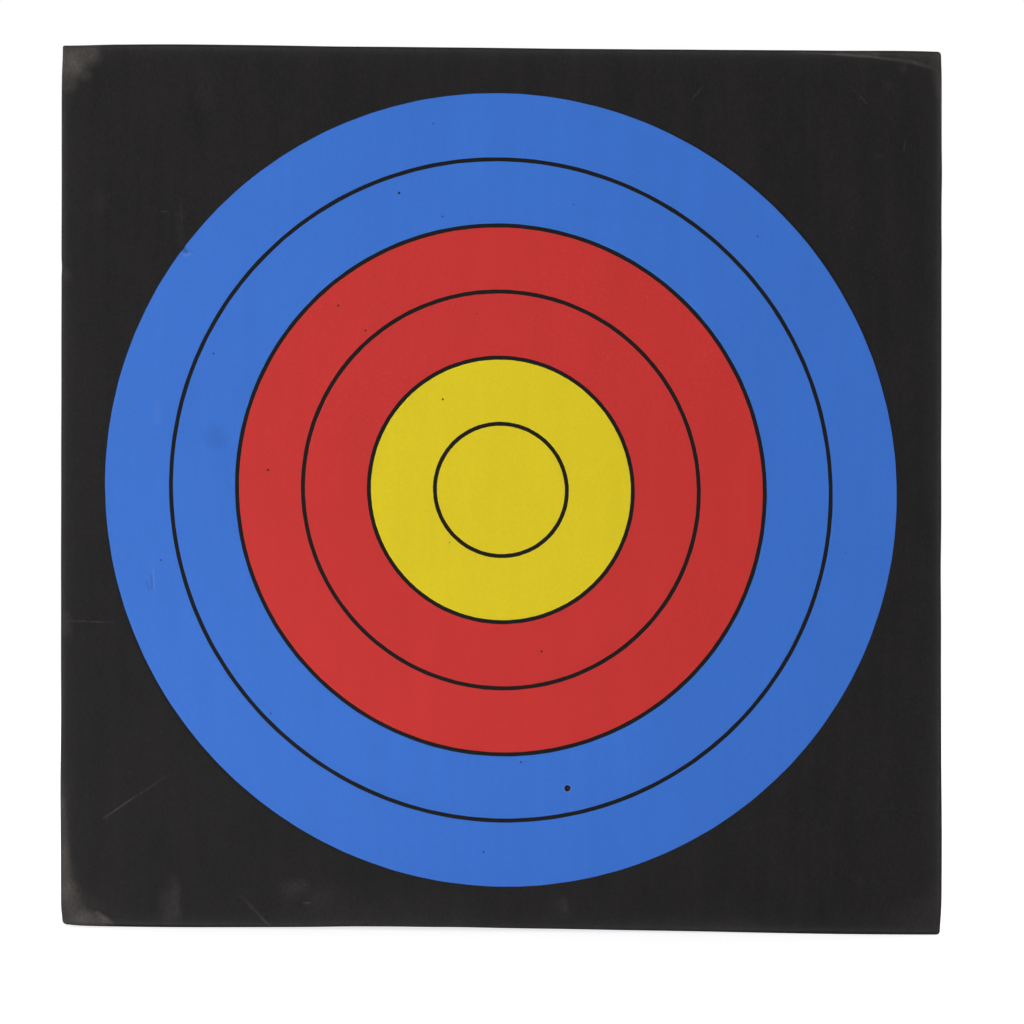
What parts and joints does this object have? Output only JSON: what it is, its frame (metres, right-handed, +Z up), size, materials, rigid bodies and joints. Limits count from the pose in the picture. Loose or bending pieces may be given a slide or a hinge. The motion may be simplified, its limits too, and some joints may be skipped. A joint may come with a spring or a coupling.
{
  "type": "archery target boss",
  "caption": "Square laminated foam archery boss with a round face of yellow, red and blue scoring rings printed straight on its front.",
  "frame": {"origin": "middle of the footprint, on the lower edge that the boss stands on", "axes": "+Z up, +X to the right and +Y away from an archer who looks at the printed face, which looks along -Y"},
  "size_m": [0.6, 0.0716, 0.6],
  "materials": {
    "facing_foam": "matte",
    "core_foam": "matte",
    "adhesive": "satin",
    "yellow_ink": "matte",
    "red_ink": "matte",
    "blue_ink": "matte"
  },
  "bodies": {
    "root": {"inner_yellow_print": "yellow_ink", "outer_yellow_print": "yellow_ink", "inner_red_print": "red_ink", "outer_red_print": "red_ink", "inner_blue_print": "blue_ink", "outer_blue_print": "blue_ink", "front_facing_sheet": "facing_foam", "adhesive_film_1": "adhesive", "core_sheet_1": "core_foam", "adhesive_film_2": "adhesive", "core_sheet_2": "core_foam", "adhesive_film_3": "adhesive", "core_sheet_3": "core_foam", "adhesive_film_4": "adhesive", "rear_facing_sheet": "facing_foam"}
  },
  "joints": []
}
